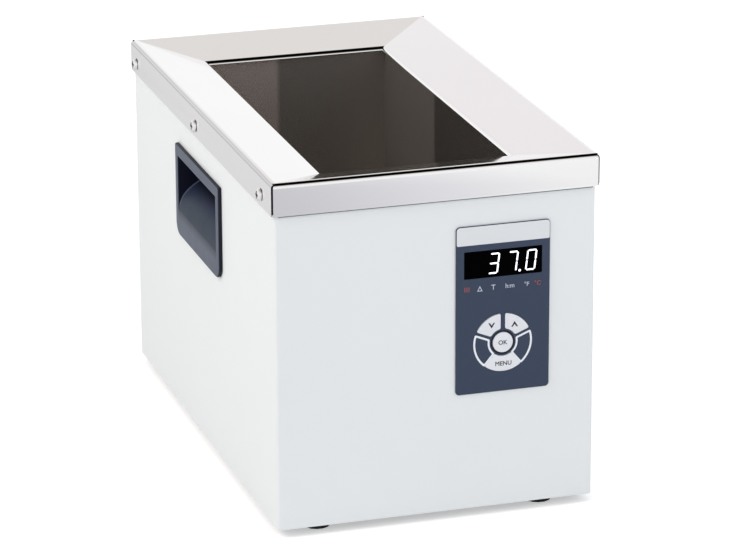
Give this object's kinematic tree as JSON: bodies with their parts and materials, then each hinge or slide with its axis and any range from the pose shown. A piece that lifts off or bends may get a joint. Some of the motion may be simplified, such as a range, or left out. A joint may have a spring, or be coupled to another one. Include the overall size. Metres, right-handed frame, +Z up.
{
  "type": "laboratory water bath",
  "caption": "Free-standing heated bath: a steel tank in a coated sheet casing with a funnel rim, recessed side grips, a key panel with a display and a rear mains inlet.",
  "frame": {"origin": "middle of the footprint at the surface that the feet stand on", "axes": "+Z up; the front with the key panel faces -Y; +X is to the right of someone who faces the front"},
  "size_m": [0.225, 0.366, 0.2415],
  "materials": {
    "casing_paint": "white textured powder coat",
    "rim_steel": "bright polished stainless sheet",
    "tank_steel": "stainless sheet with a dull shine",
    "screw_steel": "stainless",
    "zinc_steel": "zinc-plated sheet",
    "heat_aluminium": "plain aluminium",
    "slate_plastic": "fine-grained slate blue moulding",
    "black_plastic": "black moulding",
    "key_plastic": "pale grey caps with dark print",
    "header_film": "pale grey film, bare",
    "window_film": "smoked window",
    "foot_rubber": "black rubber",
    "heater_silicone": "brick red silicone",
    "jacket_foam": "closed-cell foam",
    "board_laminate": "green board with fitted parts",
    "pin_brass": "nickel-plated brass blades",
    "fuse_glass": "glass tube fuse",
    "core_iron": "lacquered laminations and coil"
  },
  "bodies": {
    "root": {"casing": "casing_paint", "rear_panel": "casing_paint", "rim_frame": "rim_steel", "tank": "tank_steel", "rim_screw_left_front": "screw_steel", "rim_screw_left_middle": "screw_steel", "rim_screw_left_rear": "screw_steel", "rim_screw_right_front": "screw_steel", "rim_screw_right_middle": "screw_steel", "rim_screw_right_rear": "screw_steel", "temperature_sensor": "screw_steel", "sensor_clip": "screw_steel", "base_tray": "zinc_steel", "tank_rail_left": "zinc_steel", "tank_rail_right": "zinc_steel", "clamp_nut_front_left": "zinc_steel", "clamp_nut_front_right": "zinc_steel", "clamp_nut_rear_right": "zinc_steel", "clamp_nut_rear_left": "zinc_steel", "foot_screw_front_left": "zinc_steel", "foot_screw_front_right": "zinc_steel", "foot_screw_rear_right": "zinc_steel", "foot_screw_rear_left": "zinc_steel", "heater_clamp_plate": "heat_aluminium", "heat_sink": "heat_aluminium", "grip_left": "slate_plastic", "grip_right": "slate_plastic", "panel_housing": "slate_plastic", "mains_inlet": "black_plastic", "overtemperature_cutout": "black_plastic", "display_module": "black_plastic", "triac": "black_plastic", "header_strip": "header_film", "display_window": "window_film", "foot_front_left": "foot_rubber", "foot_front_right": "foot_rubber", "foot_rear_right": "foot_rubber", "foot_rear_left": "foot_rubber", "heater_mat": "heater_silicone", "insulation_jacket": "jacket_foam", "key_board": "board_laminate", "power_board": "board_laminate", "pin_line": "pin_brass", "pin_earth": "pin_brass", "pin_neutral": "pin_brass", "transformer": "core_iron"},
    "key_ok": {"key_ok": "key_plastic"},
    "key_up": {"key_up": "key_plastic"},
    "key_down": {"key_down": "key_plastic"},
    "key_menu": {"key_menu": "key_plastic"},
    "power_rocker": {"power_rocker": "black_plastic"},
    "fuse_drawer": {"fuse_drawer": "black_plastic", "fuse_inner": "fuse_glass", "fuse_outer": "fuse_glass"}
  },
  "joints": [
    {"name": "key_ok_press", "type": "slide", "parent": "root", "child": "key_ok", "axis": [0, 1, 0], "range_m": [0, 0.0005], "stiffness_N_per_m": 400, "springref_m": -0.0005},
    {"name": "key_up_press", "type": "slide", "parent": "root", "child": "key_up", "axis": [0, 1, 0], "range_m": [0, 0.0005], "stiffness_N_per_m": 400, "springref_m": -0.0005},
    {"name": "key_down_press", "type": "slide", "parent": "root", "child": "key_down", "axis": [0, 1, 0], "range_m": [0, 0.0005], "stiffness_N_per_m": 400, "springref_m": -0.0005},
    {"name": "key_menu_press", "type": "slide", "parent": "root", "child": "key_menu", "axis": [0, 1, 0], "range_m": [0, 0.0005], "stiffness_N_per_m": 400, "springref_m": -0.0005},
    {"name": "power_rocker_tilt", "type": "hinge", "parent": "root", "child": "power_rocker", "pos_m": [0.058, 0.1755, 0.0655], "axis": [1, 0, 0], "range_deg": [0, 18]},
    {"name": "fuse_drawer_slide", "type": "slide", "parent": "root", "child": "fuse_drawer", "axis": [0, 1, 0], "range_m": [0, 0.012]}
  ]
}
